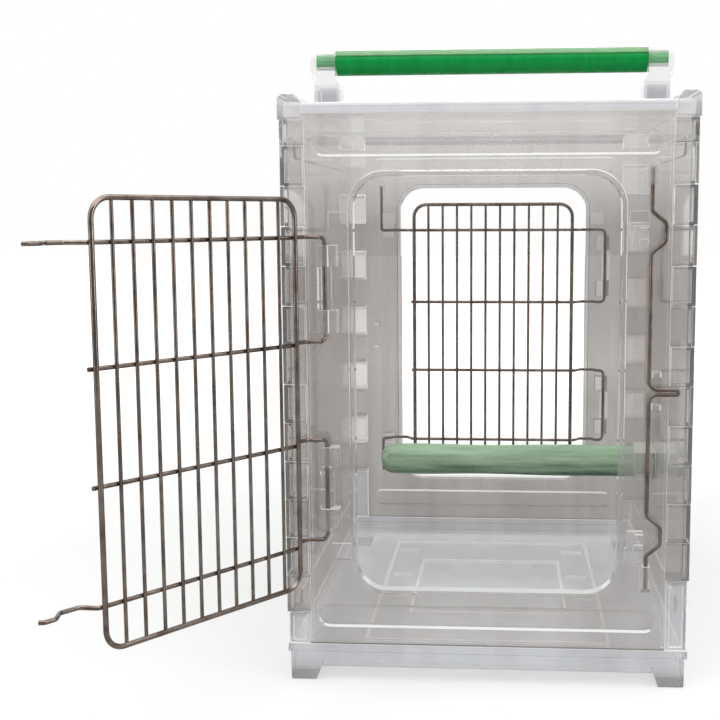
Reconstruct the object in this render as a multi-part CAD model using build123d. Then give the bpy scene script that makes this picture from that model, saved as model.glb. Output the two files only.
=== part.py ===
from build123d import *
from math import radians, sin
import os

# Bird travel carrier: a clear box of interlocking panels on a footed base tray, with a wire door at the
# front, a wire grille at the back, a carrying handle on top and one perch inside.
# Millimetres. Origin on the ground under the middle of the box, +X right, -Y front (door side), +Z up.

# ---- box ----
BODY_X = 127.0          # half width over the corner columns
BODY_Y = 162.5          # half depth over the front and back faces
PLATE = 3.0             # wall thickness of the panels
SKIN = 2.4              # thinner walls of the columns and the rail
COLUMN = 14.5           # corner columns are this wide each way
SEAM = 0.4              # gap left between neighbouring mouldings
FACE_X = BODY_X - COLUMN        # flat part of a front panel ends here
FACE_Y = BODY_Y - COLUMN        # flat part of a side panel ends here

# ---- heights ----
BASE_Z = 9.5            # underside of the tray, on top of the feet
RIM_Z = 25.0            # top of the tray's rim
KNUCKLE_Z = 45.7        # underside of the lowest knuckle
KNUCKLE = 24.6          # pitch of the knuckles
KNUCKLES = 12           # full knuckles in a column, with a short one on top
COLUMN_TOP = 356.0
PANEL_TOP = 363.2
ROOF_Z = 366.5          # top of the roof
RAIL_Z = 371.6          # top of the side rails
RAIL_X = 127.6          # outer face of the side rails
RAIL_IN = 113.8         # inner edge of their flanges
ROOF_LIP_Z = 359.7      # underside of the roof's front and back lips
OVERHANG = 2.4          # rails and roof reach this far past the front and back panels

# ---- doorway ----
DOOR_W, DOOR_Z0, DOOR_Z1 = 163.0, 62.9, 322.0
DOOR_R = 19.0
LIP_W, LIP_H = 3.5, 5.0         # raised lip around the doorway
RIB_W, RIB_H, RIB_DEEP = 214.0, 14.5, 1.4
SIDE_RIB_W = 262.0
RIB_Z = (43.5, 341.2)
GROOVE_X, GROOVE_W = 111.0, 1.6         # fine upright groove beside each corner column
RECESS = 0.9            # depth of the shallow steps in the panels and towers

# ---- details that stand proud of the front and back panels ----
ROOT = 0.5                              # they sink this far into the panel
HOOK_X = (-103.0, -97.3, -91.5)         # tip of a hinge hook, then the two sides of its leg
HOOK_Y = (-172.2, -169.7)               # outer and inner face of its tip
KEEPER_X = (-103.5, -101.0, -95.5)      # tip, raised edge and far side of the finger behind the wire
KEEPER_Y = (-170.5, -166.3)             # top of its raised edge and its face
PAD_X, PAD_H = ((-97.2, -85.5), (86.5, 98.0)), 2.4
CRADLE_X = (88.0, 92.0, 97.4)           # a cradle's pad, and where its teeth start
CRADLE_Y = (-169.5, -166.2)             # top of its teeth and face of its pad
STOP_X, STOP_Y = (101.4, 106.4), -169.0         # two stops beside the finger tab

# ---- tray ----
TRAY_IN = 1.5           # the tray's walls and feet stand this far inside the columns
TOWER_IN = 1.0          # and its corner towers this far
COLLAR_Z = 19.5         # underside of the thicker band around the rim
RINGS = ((82.5, 121.5), (57.0, 66.0))   # half sizes of the raised rings on its floor
RING_W, RING_H = 2.6, 1.4
SPOKE_X, SPOKE_Y, SPOKE_W = (60.5, 76.5), (-94.0, -25.0, 25.0, 94.0), 3.0
FOOT_TOP, FOOT_GROUND = 19.5, 16.2      # sides of a foot under the tray and on the ground

# ---- wire door ----
PITCH = 12.7            # half inch between bars
BARS = 10
WIRE_Z = (285.2, 221.2, 159.8, 96.4)    # the four cross wires
GRILLE_Z0, GRILLE_Z1 = 73.0, 307.7      # centre line of the frame loop
GRILLE_R = 11.0
FRAME_D, CROSS_D, BAR_D = 3.0, 2.5, 2.1
WELD = 0.3              # how far welded wires sink into each other
HINGE_X, HINGE_Y = 99.2, 168.0          # axis of the door and of the latch rod, left and right
FRAME_START = 29.3      # from the axis to the near side of the frame
FRAME_W = (BARS + 1) * PITCH
FRAME_END = FRAME_START + FRAME_W
CROSS_IN = 2.5          # cross wires lie this far inside the axis plane
HUMP = 6.5              # and hump this far outside it over the doorway lip
FRAME_IN = CROSS_IN + (FRAME_D + CROSS_D) / 2 - WELD
BAR_IN = CROSS_IN + (BAR_D + CROSS_D) / 2 - WELD
TIP_END = 203.4         # from the axis to the free ends of the cross wires
OPEN_ANGLE = 126.0      # how far the front door stands open

# ---- latch rod ----
CRANK = 8.5             # throw of the two cranks
CRANK_Z = (287.5, 100.5)
ROD_Z0, ROD_Z1 = 67.0, 325.8
TAB_Z, TAB_X = 190.5, 116.8
SOCKET_Z = ((315.5, 328.2), (65.4, 81.4))
SOCKET_WALL = 1.25
FIT = 0.2               # running clearance of a wire in a socket

# ---- handle and perch ----
GRIP_Z, GRIP_D, SPIGOT_D = 410.3, 18.5, 11.5
GRIP_X = 113.3          # half length of the grip
SPIGOT_X = 128.2
SOCKET_D, SOCKET_X0, SOCKET_X1 = 24.0, 113.8, 131.5
POST_X0, POST_X1, POST_Y = 110.3, 129.0, 13.0
SHOULDER_Z = 394.0      # the post widens into its socket above this
SADDLE_Z = 349.0        # the post hangs over the rail down to here
PERCH_Z, PERCH_X0, PERCH_X1 = 112.7, -83.0, 122.0
PERCH_RADII = (11.2, 11.6, 11.0, 11.4, 11.9, 11.6, 12.0)
CUP_X, CUP_D = 108.0, 29.0
SCREW_D = 5.0

MIRROR_X = Plane.YZ
HALF_TURN = Rot(0, 0, 180)


def block(x, y, z):
    """A box from its lowest and highest corner along each axis."""
    size = [high - low for low, high in (x, y, z)]
    middle = [(high + low) / 2 for low, high in (x, y, z)]
    return Pos(*middle) * Box(*size)


def bent_wire(points, radii, diameter):
    """A round wire along straight runs joined by bends."""
    path = FilletPolyline(*points, radius=radii)
    section = Plane(origin=path @ 0, z_dir=path % 0) * Circle(diameter / 2)
    return sweep(section, path=path)


def front_slab(sketch, y, thickness):
    """A flat shape drawn in X and Z, its outer face at y, grown inwards."""
    return Pos(0, y + thickness, 0) * Rot(90, 0, 0) * extrude(sketch, amount=thickness)


def rounded_opening(grow, middle):
    """Outline of the doorway, made larger by grow all round."""
    height = DOOR_Z1 - DOOR_Z0
    return Pos(0, middle) * RectangleRounded(DOOR_W + 2 * grow, height + 2 * grow, DOOR_R + grow)


def knuckle(z0, z1, owner):
    """One hollow corner knuckle at the right front; owner is the panel it is moulded on."""
    x0 = FACE_X if owner == "face" else FACE_X + SEAM
    y1 = -FACE_Y if owner == "side" else -FACE_Y - SEAM
    outer = block((x0, BODY_X), (-BODY_Y, y1), (z0 + SEAM / 2, z1 - SEAM / 2))
    inner = block((x0 - 1, BODY_X - SKIN), (-BODY_Y + SKIN, y1 + 1), (z0 + 2, z1 - 2))
    return outer - inner


def knuckle_span(step):
    low = KNUCKLE_Z + step * KNUCKLE
    return low, min(low + KNUCKLE, COLUMN_TOP)


def hinge_fingers(z_top, z_bottom):
    """Three hooks that hold one hinge wire at the left: two reach over it and one lies behind it."""
    root = -BODY_Y + ROOT
    tip, near, far = HOOK_X
    hooks = []
    for low, high in ((z_bottom + 5, z_bottom + 19.3), (z_top - 18, z_top - 5)):
        leg = block((near, far), (HOOK_Y[0], root), (low, high))
        lip = block((tip, far), HOOK_Y, (low, high))
        hooks += [leg, lip]
    span = (z_bottom + 19.7, z_top - 18.4)
    tip, edge, far = KEEPER_X
    hooks.append(block((tip, far), (KEEPER_Y[1], root), span))
    hooks.append(block((tip, edge), (KEEPER_Y[0], KEEPER_Y[1] + 0.1), span))
    return hooks


def end_socket(z0, z1, open_front):
    """Small clear barrel that holds one end of the latch rod, or of a bent grille wire."""
    bore = CROSS_D / 2 + FIT
    half = bore + SOCKET_WALL
    front = -HINGE_Y - half
    body = block((HINGE_X - half, HINGE_X + half), (front, -BODY_Y + ROOT), (z0, z1))
    upper = z0 > TAB_Z
    if open_front:
        reach = (z0 - 1, z1 - 0.8) if upper else (z0 + 0.8, z1 + 1)
        body -= block((HINGE_X - bore, HINGE_X + bore), (front - 1, -HINGE_Y), reach)
    else:
        reach = (z0 - 1, ROD_Z1 + 0.6) if upper else (ROD_Z0 - 0.6, z1 + 1)
    hole = Cylinder(bore, reach[1] - reach[0])
    return body - Pos(HINGE_X, -HINGE_Y, sum(reach) / 2) * hole


def wire_cradle(z):
    """Rest for a cross wire beside the latch rod: a pad with a tooth above and below the wire."""
    start, teeth, end = CRADLE_X
    tooth_y = (CRADLE_Y[0], CRADLE_Y[1] + 0.2)
    pad = block((start, end), (CRADLE_Y[1], -BODY_Y + ROOT), (z - 6.2, z + 6.2))
    gap = CROSS_D / 2 + 0.5
    upper = block((teeth, end), tooth_y, (z + gap, z + 5.0))
    lower = block((teeth, end), tooth_y, (z - 5.0, z - gap))
    return [pad, upper, lower]


def rib(width, depth):
    """A long round-ended rib with sloping sides, standing up from the XY plane."""
    return extrude(SlotOverall(width, RIB_H), amount=depth, taper=45)


def pads(z0, z1):
    """Flat pads between the doorway and the hinge on the left, and the latch on the right."""
    return [block(x, (-BODY_Y - PAD_H, -BODY_Y + ROOT), (z0, z1)) for x in PAD_X]


def door_panel(open_sockets):
    """Front panel, facing -Y. The back panel is the same moulding turned round."""
    middle = (DOOR_Z0 + DOOR_Z1) / 2
    panel = block((-FACE_X, FACE_X), (-BODY_Y, -BODY_Y + PLATE), (RIM_Z, PANEL_TOP))
    lip = front_slab(rounded_opening(LIP_W, middle), -BODY_Y - LIP_H, LIP_H + 1)
    panel += fillet(lip.faces().sort_by(Axis.Y)[0].edges(), 1.6)
    panel -= front_slab(rounded_opening(0, middle), -BODY_Y - LIP_H - 1, LIP_H + 10)
    for z in RIB_Z:
        outside = Pos(0, -BODY_Y, z) * Rot(-90, 0, 0)
        inside = Pos(0, -BODY_Y + PLATE - 0.1, z) * Rot(-90, 0, 0)
        panel += inside * rib(RIB_W, RIB_DEEP)
        panel -= outside * rib(RIB_W, RIB_DEEP)
    panel -= block((-FACE_X - 1, FACE_X + 1), (-BODY_Y - 1, -BODY_Y + RECESS), (COLUMN_TOP, PANEL_TOP + 1))
    for pad in pads(WIRE_Z[0] + 4.6, WIRE_Z[0] + 15) + pads(WIRE_Z[3] - 15, WIRE_Z[3] - 4.6):
        panel += pad
    for step in range(0, KNUCKLES + 1, 2):
        panel += mirror(knuckle(*knuckle_span(step), "face"), about=MIRROR_X)
    for step in range(1, KNUCKLES, 2):
        panel += knuckle(*knuckle_span(step), "face")
    for hook in hinge_fingers(*WIRE_Z[0:2]) + hinge_fingers(*WIRE_Z[2:4]):
        panel += hook
    for z0, z1 in SOCKET_Z:
        panel += end_socket(z0, z1, open_sockets)
    for z in (WIRE_Z[0], WIRE_Z[3]):
        for piece in wire_cradle(z):
            panel += piece
    for z in (TAB_Z - 9.8, TAB_Z + 10.6):
        panel += block(STOP_X, (STOP_Y, -BODY_Y + ROOT), (z - 2, z + 2))
    for x in (-GROOVE_X, GROOVE_X):
        sides = (x - GROOVE_W / 2, x + GROOVE_W / 2)
        panel -= block(sides, (-BODY_Y - 1, -BODY_Y + RECESS), (RIM_Z + 2, COLUMN_TOP))
    return panel


def side_panel(screw_hole):
    """Right side panel. The left one is turned round, and has no hole because no perch is fixed to it."""
    panel = block((BODY_X - PLATE, BODY_X), (-FACE_Y, FACE_Y), (RIM_Z, ROOF_Z + SEAM))
    for step in range(2, KNUCKLES + 1, 2):
        panel += knuckle(*knuckle_span(step), "side")
    for step in range(1, KNUCKLES, 2):
        panel += mirror(knuckle(*knuckle_span(step), "side"), about=Plane.XZ)
    end = BODY_Y + OVERHANG
    under, low = ROOF_Z + SEAM, COLUMN_TOP + SEAM
    profile = Polyline(
        (RAIL_IN, under), (RAIL_IN + 3.7, RAIL_Z), (RAIL_X - 2.2, RAIL_Z), (RAIL_X, RAIL_Z - 2.2),
        (RAIL_X, low), (BODY_X - PLATE, low), (BODY_X - PLATE, under), close=True
    )
    panel += Pos(0, end, 0) * Rot(90, 0, 0) * extrude(make_face(profile), amount=2 * end)
    for y in ((-end, -BODY_Y - 0.2), (BODY_Y + 0.2, end)):
        panel += block((RAIL_IN, BODY_X - 1), y, (ROOF_LIP_Z - 2.6, RAIL_Z - 1))
    for z in RIB_Z:
        outside = Pos(BODY_X, 0, z) * Rot(0, -90, 0) * Rot(0, 0, 90)
        inside = Pos(BODY_X - PLATE + 0.1, 0, z) * Rot(0, -90, 0) * Rot(0, 0, 90)
        panel += inside * rib(SIDE_RIB_W, RIB_DEEP)
        panel -= outside * rib(SIDE_RIB_W, RIB_DEEP)
    if screw_hole:
        panel -= Pos(BODY_X, 0, PERCH_Z) * Rot(0, 90, 0) * Cylinder(SCREW_D / 2 + 0.3, 20)
    return panel


def roof_panel():
    """Flat roof between the rails, with a lip hanging over the front and back panels."""
    reach_y = BODY_Y + OVERHANG
    inside = BODY_X - PLATE - SEAM
    end_x = RAIL_IN - SEAM
    roof = block((-inside, inside), (-FACE_Y, FACE_Y), (ROOF_Z - PLATE, ROOF_Z))
    roof += block((-end_x, end_x), (-reach_y, reach_y), (ROOF_Z - PLATE, ROOF_Z))
    lip = block((-end_x, end_x), (-reach_y, -BODY_Y - 0.1), (ROOF_LIP_Z, ROOF_Z))
    lip += HALF_TURN * lip
    return roof + lip


def rim(x, y, z, inner):
    """A rectangular ring of half size x by y, with its hole inset by inner."""
    outer = block((-x, x), (-y, y), z)
    hole = block((-x + inner, x - inner), (-y + inner, y - inner), (z[0] - 1, z[1] + 1))
    return outer - hole


def foot():
    """Right front foot: a short block whose inner sides slope in towards the ground."""
    x, y = BODY_X - TRAY_IN, BODY_Y - TRAY_IN
    top = Pos(x - FOOT_TOP / 2, FOOT_TOP / 2 - y, BASE_Z) * Rectangle(FOOT_TOP, FOOT_TOP)
    sole = Pos(x - FOOT_GROUND / 2, FOOT_GROUND / 2 - y, 0) * Rectangle(FOOT_GROUND, FOOT_GROUND)
    tapered = loft([sole.face(), top.face()])
    ground = tapered.faces().sort_by(Axis.Z)[0].edges()
    outer = ground.sort_by(Axis.X)[-1:] + ground.sort_by(Axis.Y)[:1]
    return chamfer(outer, 1.0)


def corner_tower(top):
    """Right front corner of the tray, standing up inside the column below the lowest knuckle."""
    x1, y0 = BODY_X - TOWER_IN, -BODY_Y + TOWER_IN
    x0, y1 = FACE_X + SEAM, -FACE_Y - SEAM
    tower = block((x0, x1), (y0, y1), (RIM_Z - 1, top))
    tower -= block((x0 - 1, x1 - SKIN), (y0 + SKIN, y1 + 1), (RIM_Z - 2, top - 2))
    tower -= block((x0 + SKIN, x1 - SKIN), (y0 - 1, y0 + RECESS), (RIM_Z + 2, top - 2.5))
    return tower


def base_tray():
    """Tray with feet, rim, corner towers and a raised pattern on its floor."""
    x, y = BODY_X - TRAY_IN, BODY_Y - TRAY_IN
    floor = BASE_Z + PLATE
    raised = (floor - ROOT, floor + RING_H)
    tray = block((-x, x), (-y, y), (BASE_Z, floor))
    tray += rim(x, y, (BASE_Z, RIM_Z), PLATE)
    tray += rim(BODY_X, BODY_Y, (COLLAR_Z, RIM_Z), PLATE + TRAY_IN)
    for ring_x, ring_y in RINGS:
        tray += rim(ring_x, ring_y, raised, RING_W)
    for spoke_y in SPOKE_Y:
        sides = (spoke_y - SPOKE_W / 2, spoke_y + SPOKE_W / 2)
        spoke = block(SPOKE_X, sides, raised)
        tray += spoke
        tray += mirror(spoke, about=MIRROR_X)
    corner = foot() + corner_tower(KNUCKLE_Z + KNUCKLE - 0.3)
    short_corner = foot() + corner_tower(KNUCKLE_Z - 0.3)
    short_corner = mirror(short_corner, about=MIRROR_X)
    for piece in (corner, short_corner):
        tray += piece
        tray += HALF_TURN * piece
    return tray


def handle_post():
    """Right handle post: a hollow upright that saddles the side rail, with a socket for the grip."""
    post = block((POST_X0, POST_X1), (-POST_Y, POST_Y), (RAIL_Z, SHOULDER_Z + 1))
    inside_x, inside_y = (POST_X0 + SKIN, POST_X1 - SKIN), (-POST_Y + SKIN, POST_Y - SKIN)
    post -= block(inside_x, inside_y, (RAIL_Z - 1, SHOULDER_Z - 3))
    post += block((RAIL_X + 0.1, POST_X1), (-POST_Y, POST_Y), (SADDLE_Z, RAIL_Z + 0.5))
    post += block((POST_X0, POST_X0 + SKIN), (-POST_Y, POST_Y), (ROOF_Z, RAIL_Z + 0.5))
    head = Polyline(
        (POST_X0, SHOULDER_Z), (POST_X1, SHOULDER_Z), (SOCKET_X1, GRIP_Z - 6), (SOCKET_X1, GRIP_Z),
        (SOCKET_X0, GRIP_Z), (SOCKET_X0, SHOULDER_Z + 5.5), close=True
    )
    half = SOCKET_D / 2
    post += Pos(0, half, 0) * Rot(90, 0, 0) * extrude(make_face(head), amount=SOCKET_D)
    middle = (SOCKET_X0 + SOCKET_X1) / 2
    post += Pos(middle, 0, GRIP_Z) * Rot(0, 90, 0) * Cylinder(half, SOCKET_X1 - SOCKET_X0)
    deep = SPIGOT_X + 0.3 - SOCKET_X0 + 1
    bore = Pos(SOCKET_X0 - 1 + deep / 2, 0, GRIP_Z) * Rot(0, 90, 0)
    return post - bore * Cylinder(SPIGOT_D / 2 + 0.1, deep)


def handle_grip():
    """Solid plastic grip with a thinner spigot at each end."""
    grip = Cylinder(GRIP_D / 2, 2 * GRIP_X) + Cylinder(SPIGOT_D / 2, 2 * SPIGOT_X)
    return Pos(0, 0, GRIP_Z) * Rot(0, 90, 0) * grip


def handle_strap():
    """Clear strip that wraps over the top of the grip, between the sockets."""
    length = 2 * SOCKET_X0
    shell = Cylinder(SOCKET_D / 2, length) - Cylinder(GRIP_D / 2 + 0.15, length + 2)
    shell = Pos(0, 0, GRIP_Z) * Rot(0, 90, 0) * shell
    half = SOCKET_D / 2 * sin(radians(50))
    return shell & block((-SOCKET_X0, SOCKET_X0), (-half, half), (GRIP_Z + 4, GRIP_Z + 20))


def perch():
    """Slightly uneven dowel with a rounded free end and a pilot hole in the other."""
    length = PERCH_X1 - PERCH_X0
    step = (length - 8) / (len(PERCH_RADII) - 1)
    crown = [(8 + i * step, r) for i, r in enumerate(PERCH_RADII)]
    outline = Spline(*crown)
    end = ThreePointArc((0, 0), (2.6, crown[0][1] - 3.2), crown[0])
    edges = end + outline + Polyline(crown[-1], (length, 0), (0, 0))
    body = revolve(Rot(90, 0, 0) * make_face(edges), axis=Axis.X)
    pilot = Pos(length - 13, 0, 0) * Rot(0, 90, 0) * Cylinder(SCREW_D / 2, 30)
    return Pos(PERCH_X0, 0, PERCH_Z) * (body - pilot)


def perch_socket():
    """Clear cup on the inside of the right wall that steadies the end of the perch."""
    wall = BODY_X - PLATE
    cup = Pos((CUP_X + wall) / 2, 0, PERCH_Z) * Rot(0, 90, 0) * Cylinder(CUP_D / 2, wall - CUP_X)
    hollow = Pos((CUP_X - 1 + PERCH_X1) / 2, 0, PERCH_Z) * Rot(0, 90, 0)
    cup -= hollow * Cylinder(PERCH_RADII[-1] + 0.4, PERCH_X1 - CUP_X + 1)
    cup -= Pos(wall, 0, PERCH_Z) * Rot(0, 90, 0) * Cylinder(SCREW_D / 2 + 0.3, 10)
    return cup


def perch_screw():
    """Pan head screw that pulls the perch against the wall."""
    shank_end, head = 98.0, BODY_X + 1.2
    shank = Pos((shank_end + head) / 2, 0, PERCH_Z) * Rot(0, 90, 0) * Cylinder(SCREW_D / 2, head - shank_end)
    crown = Pos(head + 1.6, 0, PERCH_Z) * Rot(0, 90, 0) * Cylinder(5.0, 3.2)
    crown = fillet(crown.edges().filter_by(GeomType.CIRCLE).sort_by(Axis.X)[-1], 1.6)
    slot = block((head + 1.8, head + 4), (-6, 6), (PERCH_Z - 0.6, PERCH_Z + 0.6))
    cross = block((head + 1.8, head + 4), (-0.6, 0.6), (PERCH_Z - 6, PERCH_Z + 6))
    return shank + crown - (slot + cross)


def perch_washer():
    washer = Cylinder(7.5, 1.2) - Cylinder(SCREW_D / 2 + 0.2, 4)
    return Pos(BODY_X + 0.6, 0, PERCH_Z) * Rot(0, 90, 0) * washer


# A grille is drawn closed in its own frame: s runs from the hinge axis across the doorway, n points outwards
# from the plane of the axis and z is the height. place() turns (s, n, z) into the drawing's X, Y and Z.

def place(s, n, z):
    return (s, -n, z)


def grille_frame():
    """Closed loop of wire with round corners."""
    width, height = FRAME_W, GRILLE_Z1 - GRILLE_Z0
    path = RectangleRounded(width, height, GRILLE_R).wire()
    start = path @ 0
    section = Plane(origin=start, z_dir=path % 0) * Circle(FRAME_D / 2)
    loop = Rot(90, 0, 0) * sweep(section, path=path)
    return Pos(FRAME_START + width / 2, FRAME_IN, (GRILLE_Z0 + GRILLE_Z1) / 2) * loop


def grille_bar(index):
    """One upright bar, sunk a little into the frame at both ends."""
    inset = FRAME_D / 2 - WELD
    low, high = GRILLE_Z0 + inset, GRILLE_Z1 - inset
    s = FRAME_START + PITCH * (index + 1)
    return Pos(s, BAR_IN, (low + high) / 2) * Cylinder(BAR_D / 2, high - low)


def hinge_side(z):
    """Points of a cross wire from the frame to the hinge axis, humped over the doorway lip."""
    return [
        place(26.5, -CROSS_IN, z), place(20.0, HUMP, z), place(10.5, HUMP, z),
        place(5.5, 0, z), place(0, 0, z),
    ]


def latch_side(z, turn):
    """Points of a cross wire past the frame; turn is 0 for a free tip, or the height its end reaches."""
    points = [
        place(FRAME_END + 2.5, -CROSS_IN, z), place(FRAME_END + 8.0, HUMP, z),
        place(FRAME_END + 19.5, HUMP, z), place(FRAME_END + 26.0, 0, z),
    ]
    if turn:
        return points + [place(2 * HINGE_X, 0, z), place(2 * HINGE_X, 0, turn)]
    return points + [place(TIP_END - 2.2, 0, z), place(TIP_END, 2.0, z)]


def hinge_wire(long_z, short_z, turn):
    """U-shaped wire: its bend is the hinge pin and its two arms cross the grille."""
    short_end = [place(FRAME_END + 3.0, -CROSS_IN, short_z)]
    far = latch_side(long_z, turn)
    points = short_end + hinge_side(short_z) + list(reversed(hinge_side(long_z))) + far
    radii = [3.0, 3.0, 3.0, 2.0, 4.0, 4.0, 2.0, 3.0, 3.0, 3.0, 3.0, 3.0, 3.0, 3.0]
    radii += [2.0] if turn else [1.4]
    return bent_wire(points, radii, CROSS_D)


def grille_parts(prefix, bent_ends):
    """All the wires of one grille, in the grille's own frame."""
    ends = (SOCKET_Z[0][0] + 8.5, SOCKET_Z[1][0] + 2.0) if bent_ends else (0, 0)
    parts = {f"{prefix}_frame": grille_frame()}
    for index in range(BARS):
        parts[f"{prefix}_bar_{index + 1}"] = grille_bar(index)
    parts[f"{prefix}_upper_hinge_wire"] = hinge_wire(WIRE_Z[0], WIRE_Z[1], ends[0])
    parts[f"{prefix}_lower_hinge_wire"] = hinge_wire(WIRE_Z[3], WIRE_Z[2], ends[1])
    return parts


def latch_rod():
    """One bent wire: two cranks that swing over the door's wire tips, and a hairpin finger tab."""
    x, y = HINGE_X, -HINGE_Y
    points = [(x, y, ROD_Z1)]
    radii = []
    for middle in CRANK_Z:
        points += [(x, y, middle + 12.5), (x + CRANK, y, middle + 5.5)]
        points += [(x + CRANK, y, middle - 5.5), (x, y, middle - 12.5)]
        radii += [3.5, 3.5, 3.5, 3.5]
        if middle == CRANK_Z[0]:
            half = CROSS_D / 2 + 0.3
            points += [(x, y, TAB_Z + half), (TAB_X, y, TAB_Z + half)]
            points += [(TAB_X, y, TAB_Z - half), (x, y, TAB_Z - half)]
            radii += [5.5, half - 0.02, half - 0.02, 5.5]
    points.append((x, y, ROD_Z0))
    return bent_wire(points, radii, CROSS_D)


def build():
    right_post = handle_post()
    parts = {
        "base_tray": base_tray(),
        "front_panel": door_panel(open_sockets=False),
        "back_panel": HALF_TURN * door_panel(open_sockets=True),
        "right_side_panel": side_panel(screw_hole=True),
        "left_side_panel": HALF_TURN * side_panel(screw_hole=False),
        "roof_panel": roof_panel(),
        "handle_post_right": right_post,
        "handle_post_left": HALF_TURN * right_post,
        "handle_grip": handle_grip(),
        "handle_strap": handle_strap(),
        "perch": perch(),
        "perch_socket": perch_socket(),
        "perch_screw": perch_screw(),
        "perch_screw_washer": perch_washer(),
        "latch_rod": latch_rod(),
    }
    front = Pos(-HINGE_X, -HINGE_Y, 0) * Rot(0, 0, -OPEN_ANGLE)
    back = Pos(HINGE_X, HINGE_Y, 0) * HALF_TURN
    for name, shape in grille_parts("front_door", bent_ends=False).items():
        parts[name] = front * shape
    for name, shape in grille_parts("back_grille", bent_ends=True).items():
        parts[name] = back * shape
    return parts


def main():
    os.makedirs("parts", exist_ok=True)
    for name, shape in build().items():
        export_step(shape, f"parts/{name}.step")


main()
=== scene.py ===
import math

import bmesh
import bpy
from mathutils import Matrix, Vector


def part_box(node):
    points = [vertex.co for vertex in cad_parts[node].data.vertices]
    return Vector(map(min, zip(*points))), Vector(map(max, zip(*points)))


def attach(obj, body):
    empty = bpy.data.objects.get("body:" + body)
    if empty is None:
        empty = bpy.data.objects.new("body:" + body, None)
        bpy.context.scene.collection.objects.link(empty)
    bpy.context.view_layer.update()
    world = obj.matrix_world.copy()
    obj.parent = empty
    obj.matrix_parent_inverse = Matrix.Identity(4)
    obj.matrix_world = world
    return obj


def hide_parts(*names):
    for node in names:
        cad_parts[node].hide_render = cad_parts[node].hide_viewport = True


# Looks of the bird travel carrier: clear mouldings, wire door and grille, green grip and mint perch.
# Metres, +Z up, -Y out of the front doorway.

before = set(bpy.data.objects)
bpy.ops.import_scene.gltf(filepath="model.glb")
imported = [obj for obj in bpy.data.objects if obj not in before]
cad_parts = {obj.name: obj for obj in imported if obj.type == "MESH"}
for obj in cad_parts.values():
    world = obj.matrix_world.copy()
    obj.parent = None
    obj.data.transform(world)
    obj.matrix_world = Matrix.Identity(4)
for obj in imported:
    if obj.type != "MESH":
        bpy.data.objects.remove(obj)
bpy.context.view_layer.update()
MM = 0.001


# ---- node helpers ----

def add_node(tree, kind, settings=None, inputs=None):
    """A shader node with its settings and its input values or links."""
    node = tree.nodes.new("ShaderNode" + kind)
    for name, value in (settings or {}).items():
        setattr(node, name, value)
    for name, value in (inputs or {}).items():
        socket = node.inputs[name]
        if isinstance(value, bpy.types.NodeSocket):
            tree.links.new(value, socket)
        else:
            socket.default_value = value
    return node


def remap(tree, value, low, high, from_low=0.0, from_high=1.0):
    """A value taken from one range to another."""
    inputs = {"Value": value, "From Min": from_low, "From Max": from_high, "To Min": low, "To Max": high}
    return add_node(tree, "MapRange", None, inputs).outputs["Result"]


def arithmetic(tree, operation, first, second):
    node = add_node(tree, "Math", {"operation": operation}, {0: first, 1: second})
    return node.outputs[0]


def stretched(tree, vector, scale):
    """Coordinates scaled along each axis."""
    return add_node(tree, "Mapping", None, {"Vector": vector, "Scale": scale}).outputs["Vector"]


def scaled_place(tree, given):
    """A group's own coordinates multiplied by its scale."""
    inputs = {"Vector": given["Vector"], "Scale": given["Scale"]}
    return add_node(tree, "VectorMath", {"operation": "SCALE"}, inputs).outputs["Vector"]


def noise_value(tree, vector, scale, detail=3.0, roughness=0.5):
    inputs = {"Vector": vector, "Scale": scale, "Detail": detail, "Roughness": roughness}
    return add_node(tree, "TexNoise", None, inputs).outputs["Fac"]


def new_group(name, inputs, outputs):
    """An empty node group with named sockets: its tree, its inputs and a function that sets an output."""
    tree = bpy.data.node_groups.new(name, "ShaderNodeTree")
    for label, kind, default in inputs:
        socket = tree.interface.new_socket(name=label, in_out="INPUT", socket_type="NodeSocket" + kind)
        if default is not None:
            socket.default_value = default
    for label in outputs:
        tree.interface.new_socket(name=label, in_out="OUTPUT", socket_type="NodeSocketFloat")
    entry = tree.nodes.new("NodeGroupInput")
    leave = tree.nodes.new("NodeGroupOutput")

    def send(label, value):
        tree.links.new(value, leave.inputs[label])

    return tree, entry.outputs, send


def use_group(tree, group, inputs):
    node = tree.nodes.new("ShaderNodeGroup")
    node.node_tree = group
    for name, value in inputs.items():
        if isinstance(value, bpy.types.NodeSocket):
            tree.links.new(value, node.inputs[name])
        else:
            node.inputs[name].default_value = value
    return node.outputs


def make_handling_wear():
    """Hairline scratches in two directions and soft patches of haze, from handling and wiping."""
    inputs = [("Vector", "Vector", None), ("Scale", "Float", 1.0), ("Amount", "Float", 0.5)]
    tree, given, send = new_group("handling_wear", inputs, ["Wear", "Height"])
    scaled = scaled_place(tree, given)
    first = noise_value(tree, stretched(tree, scaled, (14, 900, 260)), 1.0, 2.0)
    second = noise_value(tree, stretched(tree, scaled, (800, 40, 30)), 1.0, 2.0)
    hairs = arithmetic(
        tree, "MAXIMUM", remap(tree, first, 0, 1, 0.66, 0.74), remap(tree, second, 0, 1, 0.67, 0.75)
    )
    patches = remap(tree, noise_value(tree, scaled, 22, 4.0, 0.6), 0, 1, 0.42, 0.72)
    both = arithmetic(tree, "ADD", arithmetic(tree, "MULTIPLY", hairs, 0.5), patches)
    send("Wear", arithmetic(tree, "MULTIPLY", both, given["Amount"]))
    send("Height", arithmetic(tree, "MULTIPLY", hairs, -1.0))
    return tree


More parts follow.
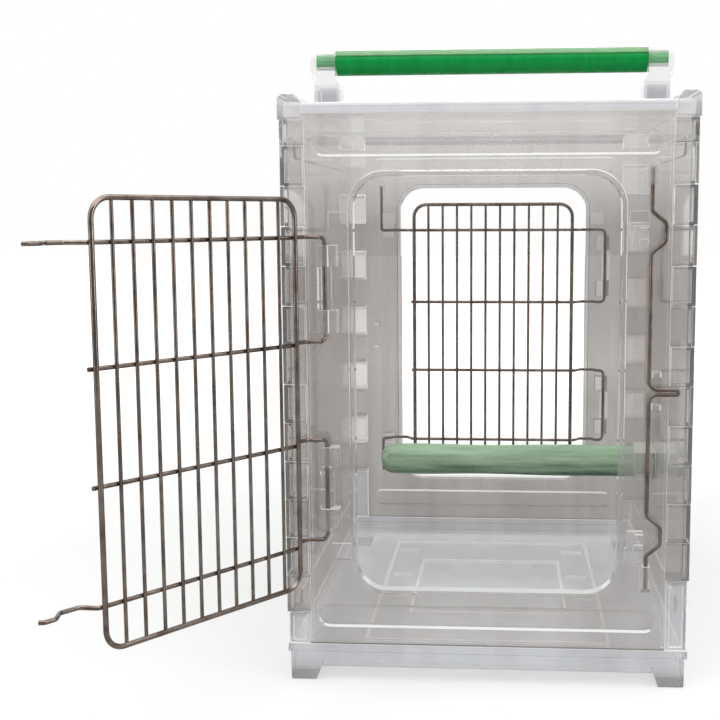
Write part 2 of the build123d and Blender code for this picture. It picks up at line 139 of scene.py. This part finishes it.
def make_moulding_flow():
    """Slow waviness and faint streaks of a moulded sheet."""
    inputs = [("Vector", "Vector", None), ("Scale", "Float", 1.0)]
    tree, given, send = new_group("moulding_flow", inputs, ["Height", "Streaks"])
    scaled = scaled_place(tree, given)
    waves = noise_value(tree, stretched(tree, scaled, (16, 16, 7)), 1.0, 2.0, 0.4)
    streaks = noise_value(tree, stretched(tree, scaled, (60, 60, 5)), 1.0, 4.0, 0.6)
    send("Height", waves)
    send("Streaks", remap(tree, streaks, 0, 1, 0.3, 0.7))
    return tree


def make_drawn_metal():
    """Tarnish in soft patches and the fine grain of drawn wire."""
    inputs = [("Vector", "Vector", None), ("Grain", "Float", 1.0)]
    tree, given, send = new_group("drawn_metal", inputs, ["Tarnish", "Height"])
    patches = noise_value(tree, given["Vector"], 70, 5.0, 0.65)
    grain = noise_value(tree, given["Vector"], 1500, 2.0, 0.5)
    send("Tarnish", remap(tree, patches, 0, 1, 0.35, 0.68))
    send("Height", arithmetic(tree, "MULTIPLY", grain, given["Grain"]))
    return tree


def make_sand_coat():
    """Grains of a sandy coat, with lengthwise streaks where it was rolled on."""
    inputs = [("Vector", "Vector", None), ("Grain Size", "Float", 0.5)]
    tree, given, send = new_group("sand_coat", inputs, ["Grains", "Streaks", "Height"])
    per_metre = arithmetic(tree, "DIVIDE", 1000.0, given["Grain Size"])
    cells = add_node(
        tree, "TexVoronoi", {"feature": "F1"}, {"Vector": given["Vector"], "Scale": per_metre}
    ).outputs["Distance"]
    streaks = noise_value(tree, stretched(tree, given["Vector"], (16, 190, 190)), 1.0, 5.0, 0.6)
    lumps = noise_value(tree, given["Vector"], 260, 3.0, 0.6)
    grains = remap(tree, cells, 1, 0, 0.1, 0.75)
    height = arithmetic(tree, "ADD", arithmetic(tree, "MULTIPLY", grains, 0.35), streaks)
    send("Grains", grains)
    send("Streaks", remap(tree, streaks, 0, 1, 0.34, 0.66))
    send("Height", arithmetic(tree, "ADD", height, arithmetic(tree, "MULTIPLY", lumps, 0.5)))
    return tree


WEAR = make_handling_wear()
FLOW = make_moulding_flow()
DRAWN = make_drawn_metal()
SAND = make_sand_coat()


# ---- materials ----

def new_material(name):
    """An empty material with its tree, its shader and its object coordinates."""
    mat = bpy.data.materials.new(name)
    mat.use_nodes = True
    tree = mat.node_tree
    where = tree.nodes.new("ShaderNodeTexCoord").outputs["Object"]
    return mat, tree, tree.nodes["Principled BSDF"], where


MIX_A, MIX_B, MIX_RESULT = 6, 7, 2      # the colour sockets of a Mix node


def mix_colors(tree, share, first, second):
    """One colour going to another as the share rises; each is a socket or three numbers."""
    node = add_node(tree, "Mix", {"data_type": "RGBA"}, {0: share})
    for index, color in ((MIX_A, first), (MIX_B, second)):
        if isinstance(color, bpy.types.NodeSocket):
            tree.links.new(color, node.inputs[index])
        else:
            node.inputs[index].default_value = (*color, 1)
    return node.outputs[MIX_RESULT]


def bump(tree, height, strength, distance):
    inputs = {"Height": height, "Strength": strength, "Distance": distance * MM}
    return add_node(tree, "Bump", None, inputs).outputs["Normal"]


SHADOW_OF_CLEAR = 0.3       # how much of the light each surface of a clear wall holds back
COAT_IOR = 1.55
WORN_ROUGHNESS = 0.12       # what full wear adds to the roughness


def clear_plastic(
    name, dark, light, haze, light_and_shade_fades=(), roughness=0.03, wear=0.6, skin=0.05, bend=1.14, coat=1
):
    """Clear polycarbonate: tinted, faintly hazy, with a hard glossy skin.

    Each fade is an axis, two places along it in mm and a weight: between the two the tint goes by that
    weight towards light, or towards dark if it is negative; the fades are painted light and painted shade.
    Skin is the roughness of the coat. Bend is the refractive index; a low one keeps a part that is seen
    edge-on from going dark.
    """
    mat, tree, shader, where = new_material(name)
    flow = use_group(tree, FLOW, {"Vector": where, "Scale": 1.0})
    worn = use_group(tree, WEAR, {"Vector": where, "Scale": 1.0, "Amount": wear})
    along = add_node(tree, "SeparateXYZ", None, {"Vector": where}).outputs
    share = remap(tree, flow["Streaks"], 0.0, 0.3)
    # Each fade paints light or shade into the tint.
    for axis, start, end, weight in light_and_shade_fades:
        share = arithmetic(tree, "ADD", share, remap(tree, along[axis], 0.0, weight, start * MM, end * MM))
    tree.links.new(mix_colors(tree, share, dark, light), shader.inputs["Base Color"])
    dulled = remap(tree, worn["Wear"], roughness, roughness + WORN_ROUGHNESS)
    tree.links.new(dulled, shader.inputs["Roughness"])
    tree.links.new(bump(tree, flow["Height"], 0.25, 1.0), shader.inputs["Normal"])
    shader.inputs["Transmission Weight"].default_value = 1 - haze
    shader.inputs["IOR"].default_value = bend
    shader.inputs["Coat Weight"].default_value = coat
    shader.inputs["Coat Roughness"].default_value = skin
    shader.inputs["Coat IOR"].default_value = COAT_IOR
    shadow_ray = add_node(tree, "LightPath").outputs["Is Shadow Ray"]
    tree.links.new(remap(tree, shadow_ray, 1, SHADOW_OF_CLEAR), shader.inputs["Alpha"])
    return mat


def green_plastic():
    mat, tree, shader, where = new_material("grip_green")
    flow = use_group(tree, FLOW, {"Vector": where, "Scale": 2.0})
    worn = use_group(tree, WEAR, {"Vector": where, "Scale": 2.0, "Amount": 0.7})
    color = mix_colors(tree, flow["Streaks"], (0.001, 0.21, 0.035), (0.003, 0.27, 0.055))
    tree.links.new(color, shader.inputs["Base Color"])
    tree.links.new(remap(tree, worn["Wear"], 0.26, 0.5), shader.inputs["Roughness"])
    tree.links.new(bump(tree, worn["Height"], 0.3, 0.05), shader.inputs["Normal"])
    shader.inputs["Specular IOR Level"].default_value = 0.15
    return mat


def mint_sand():
    mat, tree, shader, where = new_material("perch_mint")
    sand = use_group(tree, SAND, {"Vector": where, "Grain Size": 0.55})
    low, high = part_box("perch")
    height = add_node(tree, "SeparateXYZ", None, {"Vector": where}).outputs["Z"]
    # The perch is made paler towards its top and stays dark underneath: painted light on top and painted
    # shade below, mixed with the coat's streaks.
    painted_top_light = remap(tree, height, 0.0, 0.6, low[2] + 0.004, high[2] - 0.002)
    share = arithmetic(tree, "ADD", painted_top_light, arithmetic(tree, "MULTIPLY", sand["Streaks"], 0.5))
    body = mix_colors(tree, share, (0.030, 0.072, 0.038), (0.44, 0.62, 0.43))
    color = mix_colors(tree, remap(tree, sand["Grains"], 0, 0.3), body, (0.45, 0.62, 0.45))
    tree.links.new(color, shader.inputs["Base Color"])
    shader.inputs["Roughness"].default_value = 0.85
    shader.inputs["Specular IOR Level"].default_value = 0.3
    tree.links.new(bump(tree, sand["Height"], 0.7, 0.7), shader.inputs["Normal"])
    return mat


def metal(name, clean, tarnished, roughness, grain):
    mat, tree, shader, where = new_material(name)
    drawn = use_group(tree, DRAWN, {"Vector": where, "Grain": grain})
    tree.links.new(mix_colors(tree, drawn["Tarnish"], clean, tarnished), shader.inputs["Base Color"])
    tree.links.new(remap(tree, drawn["Tarnish"], roughness, roughness + 0.16), shader.inputs["Roughness"])
    tree.links.new(bump(tree, drawn["Height"], 0.25, 0.05), shader.inputs["Normal"])
    shader.inputs["Metallic"].default_value = 1
    return mat


# Paler towards the top and a little paler towards the bottom: painted light.
front_clear = clear_plastic(
    "clear_front", (0.60, 0.577, 0.557), (0.87, 0.86, 0.85), 0.09, [("Z", 255, 330, 0.8), ("Z", 110, 40, 0.2)]
)
# Paler towards the top: painted light.
back_clear = clear_plastic(
    "clear_back", (0.35, 0.333, 0.317), (0.66, 0.645, 0.63), 0.15, [("Z", 290, 340, 0.8)]
)
# Paler towards the top, along the rail: painted light.
side_clear = clear_plastic(
    "clear_side", (0.38, 0.362, 0.347), (0.92, 0.92, 0.92), 0.12, [("Z", 357, 364, 0.8)]
)
roof_clear = clear_plastic("clear_roof", (0.70, 0.70, 0.72), (0.84, 0.84, 0.86), 0.22, bend=1.03)
# Darker at the foot than above it, and darker towards the back rim: painted shade at the foot and the back
# rim.
base_clear = clear_plastic(
    "clear_base", (0.42, 0.42, 0.43), (0.80, 0.81, 0.83), 0.22, [("Z", 6, 11, 0.8), ("Y", 148, 158, -0.7)],
    skin=0.2, bend=1.03
)
# Paler at the tops of the posts: painted light.
handle_clear = clear_plastic(
    "clear_handle", (0.62, 0.615, 0.645), (0.92, 0.915, 0.905), 0.03, [("Z", 388, 396, 0.8)]
)
# Paler on top and darker towards the back end: painted light on top, painted shade at the back end.
rail_clear = clear_plastic(
    "clear_rail", (0.74, 0.73, 0.72), (0.98, 0.98, 0.98), 0.3, [("Z", 364, 368, 0.9), ("Y", 60, 160, -0.9)],
    coat=0
)
# Paler towards the top: painted light.
knuckle_clear = clear_plastic(
    "clear_knuckle", (0.62, 0.60, 0.585), (0.80, 0.785, 0.77), 0.14, [("Z", 250, 350, 0.6)], bend=1.03
)
# Hazy, pale and palest along its top: a painted highlight along the roof lip.
lip_clear = clear_plastic("clear_lip", (0.66, 0.675, 0.70), (0.97, 0.97, 0.98), 0.8, [("Z", 364, 365, 1.0)])
# A darker copy of the plastic for rounded edges that look down: painted shade.
shade_clear = clear_plastic("clear_shade", (0.22, 0.21, 0.20), (0.30, 0.29, 0.28), 0.06)
detail_clear = clear_plastic("clear_detail", (0.72, 0.70, 0.69), (0.86, 0.85, 0.84), 0.04)
far_clear = clear_plastic("clear_far_detail", (0.50, 0.485, 0.47), (0.66, 0.645, 0.63), 0.06)
strap_clear = clear_plastic("clear_strap", (0.66, 0.86, 0.62), (0.80, 0.93, 0.78), 0.14)
cup_clear = clear_plastic("clear_cup", (0.88, 0.88, 0.87), (0.94, 0.94, 0.93), 0.02)
# Nearly white, for the two grooves beside the corner columns: a painted highlight.
seam_highlight_clear = clear_plastic("clear_seam_highlight", (0.96, 0.96, 0.95), (0.98, 0.98, 0.97), 0.92, roughness=0.2)
# A paler, hazier copy for rounded edges and ledges that look up or aside: a painted highlight.
edge_highlight_clear = clear_plastic("clear_edge_highlight", (0.90, 0.90, 0.89), (0.95, 0.95, 0.94), 0.6, roughness=0.1, wear=0.3)
green = green_plastic()
mint = mint_sand()
steel = metal("wire_steel", (0.27, 0.225, 0.195), (0.11, 0.082, 0.067), 0.08, 0.5)
screw = metal("screw_steel", (0.48, 0.48, 0.48), (0.30, 0.30, 0.30), 0.24, 1.0)


# ---- meshes ----

DOUBLES = 0.002             # points closer than this are one
SAME_PLANE = 1.5            # degrees between faces that count as one flat face


def node_mesh(node):
    """An editable copy of a moulding: doubles merged and its flat faces made whole."""
    bm = bmesh.new()
    bm.from_mesh(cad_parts[node].data)
    bmesh.ops.remove_doubles(bm, verts=bm.verts, dist=DOUBLES * MM)
    turn = math.radians(SAME_PLANE)
    bmesh.ops.dissolve_limit(
        bm, angle_limit=turn, use_dissolve_boundaries=False, verts=bm.verts, edges=bm.edges
    )
    return bm


SHARP = 28                  # degrees between two faces that meet in a moulded edge
SOFT_SEAM = 50              # neighbours across a rounded edge may turn this much and still look smooth
FLAT = 400 * MM * MM        # a face larger than this is kept dead flat
PANEL_FACE = 163.5          # just outside the front and back faces
# Narrow upward faces take the painted highlight.
LEDGE = 9.0                 # an upward face narrower than this shows pale
UPWARD = 0.6                # how far a ledge looks up
# The second and third slots hold the painted highlight and the painted shade of the rounded edges and ledges.
BODY, PAINTED_HIGHLIGHT, PAINTED_SHADE, ZONES = range(4)     # material slots; each zone has one more
SIDEWAYS = 0.3              # how far a rounded edge leans before it counts as facing up, down or aside
X, Y, Z = range(3)


def face_angle(edge):
    """Degrees between the two faces of an edge, or none where it has not got two."""
    return math.degrees(abs(edge.calc_face_angle_signed())) if len(edge.link_faces) == 2 else 0


def mark_ledges(bm):
    """Narrow faces that look up take the paler edge finish: a painted highlight for the light that the rim of
    a clear moulding gathers.
    """
    for face in bm.faces:
        longest = max(edge.calc_length() for edge in face.edges)
        if face.normal.z > UPWARD and face.calc_area() / longest < LEDGE * MM:
            face.material_index = PAINTED_HIGHLIGHT


def mark_zones(bm, zones):
    """Faces that lie between two distances from the middle along an axis take that zone's material."""
    for slot, (axis, near, far, _) in enumerate(zones, start=ZONES):
        for face in bm.faces:
            reach = abs(face.calc_center_median()[axis])
            if face.material_index == BODY and near * MM < reach < far * MM:
                face.material_index = slot


def soften(bm, width, all_highlighted):
    """Rounds the moulded edges and paints light on them: a painted highlight where they look up or aside,
    painted shade where they look down, and the highlight on every rounded edge when the flag asks for it.
    """
    edges = [edge for edge in bm.edges if face_angle(edge) > SHARP]
    made = bmesh.ops.bevel(
        bm, geom=edges, offset=width * MM, offset_type="OFFSET", segments=2, profile=0.5, affect="EDGES",
        clamp_overlap=True, material=-1, loop_slide=True, miter_outer="SHARP", miter_inner="SHARP"
    )
    for face in made["faces"]:
        proud = abs(face.calc_center_median().y) > PANEL_FACE * MM
        if all_highlighted or face.normal.z > SIDEWAYS:
            face.material_index = PAINTED_HIGHLIGHT
        elif face.normal.z < -SIDEWAYS:
            face.material_index = PAINTED_SHADE
        elif abs(face.normal.x) > SIDEWAYS and not proud:
            face.material_index = PAINTED_HIGHLIGHT
    return set(made["faces"])


def shaded_object(name, bm, materials, rounded=frozenset()):
    """A mesh object from a bmesh: smooth on curves and rounded edges, flat on its flat faces."""
    mesh = bpy.data.meshes.new(name)
    for face in bm.faces:
        face.smooth = True
    for edge in bm.edges:
        among = sum(face in rounded for face in edge.link_faces)
        largest = max((face.calc_area() for face in edge.link_faces), default=0)
        limit = SOFT_SEAM if among == 2 else SHARP
        edge.smooth = among != 1 and largest < FLAT and face_angle(edge) < limit
    bm.to_mesh(mesh)
    bm.free()
    for material in materials:
        mesh.materials.append(material)
    obj = bpy.data.objects.new(name, mesh)
    bpy.context.scene.collection.objects.link(obj)
    return obj


def stand_for(node, name, material, body, width, zones=(), all_highlighted=False):
    """A softened copy of a node that is shown in its place."""
    bm = node_mesh(node)
    mark_ledges(bm)
    mark_zones(bm, zones)
    rounded = soften(bm, width, all_highlighted)
    materials = [material, edge_highlight_clear, shade_clear] + [zone[-1] for zone in zones]
    obj = shaded_object(name, bm, materials, rounded)
    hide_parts(node)
    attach(obj, body)


# ---- pieces ----

BEYOND = 400                                    # further out than any moulding reaches
# The grooves take the nearly white finish: a painted highlight.
SEAM = (X, 110, 112.2, seam_highlight_clear)              # the two grooves beside the corner columns
FRONT_PROUD = (Y, PANEL_FACE, BEYOND, detail_clear)     # sockets, fingers and lips
BACK_PROUD = (Y, PANEL_FACE, BEYOND, far_clear)
KNUCKLES = (Y, 147.5, BEYOND, knuckle_clear)
RAIL = (Z, 357, BEYOND, rail_clear)
ROOF_LIP = (Y, PANEL_FACE, BEYOND, lip_clear)

for node, material, slot, width, zones in (
    ("front_panel", front_clear, "clear_panel", 0.8, [SEAM, FRONT_PROUD]),
    ("back_panel", back_clear, "clear_panel", 0.6, [BACK_PROUD]),
    ("left_side_panel", side_clear, "clear_panel", 0.6, [RAIL, KNUCKLES]),
    ("right_side_panel", side_clear, "clear_panel", 0.6, [RAIL, KNUCKLES]),
    ("roof_panel", roof_clear, "clear_panel", 0.9, [ROOF_LIP]),
    ("base_tray", base_clear, "clear_base", 0.6, []),
    ("handle_post_left", handle_clear, "clear_handle", 0.6, []),
    ("handle_post_right", handle_clear, "clear_handle", 0.6, []),
    ("handle_strap", strap_clear, "clear_handle", 0.3, []),
    ("perch_socket", cup_clear, "clear_panel", 0.4, []),
):
    stand_for(node, node + "_moulding", material, "shell", width, zones, all_highlighted=node == "roof_panel")

FINISHES = {"handle_grip": green, "perch": mint, "perch_screw": screw, "perch_screw_washer": screw}

for name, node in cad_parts.items():
    if node.hide_render:        # a moulding stands in its place
        continue
    material = FINISHES.get(name, steel)
    node.data.materials.clear()
    node.data.materials.append(material)

# ---- floor, light and camera ----

FLOOR_HALF = 8.0
NEAR_LIFT, FAR_LIFT = 0.42, 1.0     # how white the floor is made close to the box and far from it
NEAR_FLOOR, FAR_FLOOR = 0.4, 1.5
DIM_SIDE = 0.1              # what gloss mirrors of the floor and of the studio in front of the doorway


def make_floor():
    bm = bmesh.new()
    bmesh.ops.create_grid(bm, x_segments=1, y_segments=1, size=FLOOR_HALF)
    mat, tree, shader, where = new_material("floor_white")
    shader.inputs["Base Color"].default_value = (0.5, 0.5, 0.5, 1)
    shader.inputs["Roughness"].default_value = 0.9
    shader.inputs["Specular IOR Level"].default_value = 0
    shader.inputs["Emission Color"].default_value = (1, 1, 1, 1)
    distance = add_node(tree, "VectorMath", {"operation": "LENGTH"}, {0: where}).outputs["Value"]
    lift = remap(tree, distance, NEAR_LIFT, FAR_LIFT, NEAR_FLOOR, FAR_FLOOR)
    path = add_node(tree, "LightPath").outputs
    clear = arithmetic(tree, "MAXIMUM", path["Is Camera Ray"], path["Is Transmission Ray"])
    mirrored = arithmetic(tree, "MULTIPLY", path["Is Glossy Ray"], DIM_SIDE)
    seen = arithmetic(tree, "MAXIMUM", clear, mirrored)
    tree.links.new(arithmetic(tree, "MULTIPLY", lift, seen), shader.inputs["Emission Strength"])
    floor = shaded_object("floor", bm, [mat])


make_floor()

scene = bpy.context.scene
ROOM_LIGHT = 0.34           # plain light from all round
DIM_UP_TO, WHITE_FROM = -0.7, 0.1       # directions along Y between which what gloss mirrors brightens


def make_studio():
    """White to the camera and through clear plastic, dimmer in gloss towards the front, plain as light."""
    world = bpy.data.worlds.new("studio")
    scene.world = world
    world.use_nodes = True
    tree = world.node_tree
    path = add_node(tree, "LightPath").outputs
    toward = add_node(tree, "SeparateXYZ", None, {"Vector": add_node(tree, "TexCoord").outputs["Generated"]})
    mirrored = remap(tree, toward.outputs["Y"], DIM_SIDE, 1.0, DIM_UP_TO, WHITE_FROM)
    clear = arithmetic(tree, "MAXIMUM", path["Is Camera Ray"], path["Is Transmission Ray"])
    glossy = arithmetic(tree, "MULTIPLY", path["Is Glossy Ray"], mirrored)
    seen = arithmetic(tree, "MAXIMUM", clear, glossy)
    background = tree.nodes["Background"]
    background.inputs["Color"].default_value = (1, 1, 1, 1)
    tree.links.new(arithmetic(tree, "MAXIMUM", seen, ROOM_LIGHT), background.inputs["Strength"])


make_studio()


BOX_MIDDLE = Vector((0, 0, 0.2))


def softbox(name, place, size, radiance):
    """A rectangular lamp that looks at the middle of the box."""
    light = bpy.data.lights.new(name, "AREA")
    light.shape = "RECTANGLE"
    light.size, light.size_y = size
    light.energy = radiance * math.pi * size[0] * size[1]
    obj = bpy.data.objects.new(name, light)
    obj.location = place
    obj.rotation_mode = "QUATERNION"
    obj.rotation_quaternion = (BOX_MIDDLE - Vector(place)).to_track_quat("-Z", "Y")
    scene.collection.objects.link(obj)


softbox("overhead", (0.0, -0.35, 1.4), (2.2, 1.9), 2.2)
softbox("left_box", (-1.35, -1.2, 0.6), (0.4, 1.2), 4)
softbox("right_box", (1.5, -0.7, 0.6), (0.4, 1.2), 4)
softbox("back_box", (0.9, 1.6, 0.9), (0.4, 1.0), 4)

# Camera: in front of the doorway, above the middle, looking slightly down and to the left.
CAMERA_PLACE = (0.01203, -0.88216, 0.29762)
CAMERA_YAW, CAMERA_PITCH, CAMERA_ROLL = -3.983, 7.001, -0.213
CAMERA_SHIFT = -0.09
SENSOR, FRAME_PIXELS, FOCAL_PIXELS = 36.0, 720, 1171.68


def make_camera():
    data = bpy.data.cameras.new("camera")
    data.sensor_width = SENSOR
    data.lens = SENSOR * FOCAL_PIXELS / FRAME_PIXELS
    data.shift_x = CAMERA_SHIFT
    data.clip_start, data.clip_end = 0.01, 50
    yaw, pitch, roll = (math.radians(a) for a in (CAMERA_YAW, CAMERA_PITCH, CAMERA_ROLL))
    forward = Vector((math.sin(yaw) * math.cos(pitch), math.cos(yaw) * math.cos(pitch), -math.sin(pitch)))
    level_right = Vector((math.cos(yaw), -math.sin(yaw), 0))
    level_up = level_right.cross(forward)
    right = level_right * math.cos(roll) + level_up * math.sin(roll)
    up = level_up * math.cos(roll) - level_right * math.sin(roll)
    camera = bpy.data.objects.new("camera", data)
    turned = Matrix((right, up, -forward)).transposed().to_4x4()
    camera.matrix_world = Matrix.Translation(CAMERA_PLACE) @ turned
    scene.collection.objects.link(camera)
    scene.camera = camera


make_camera()
scene.view_settings.view_transform = "Standard"
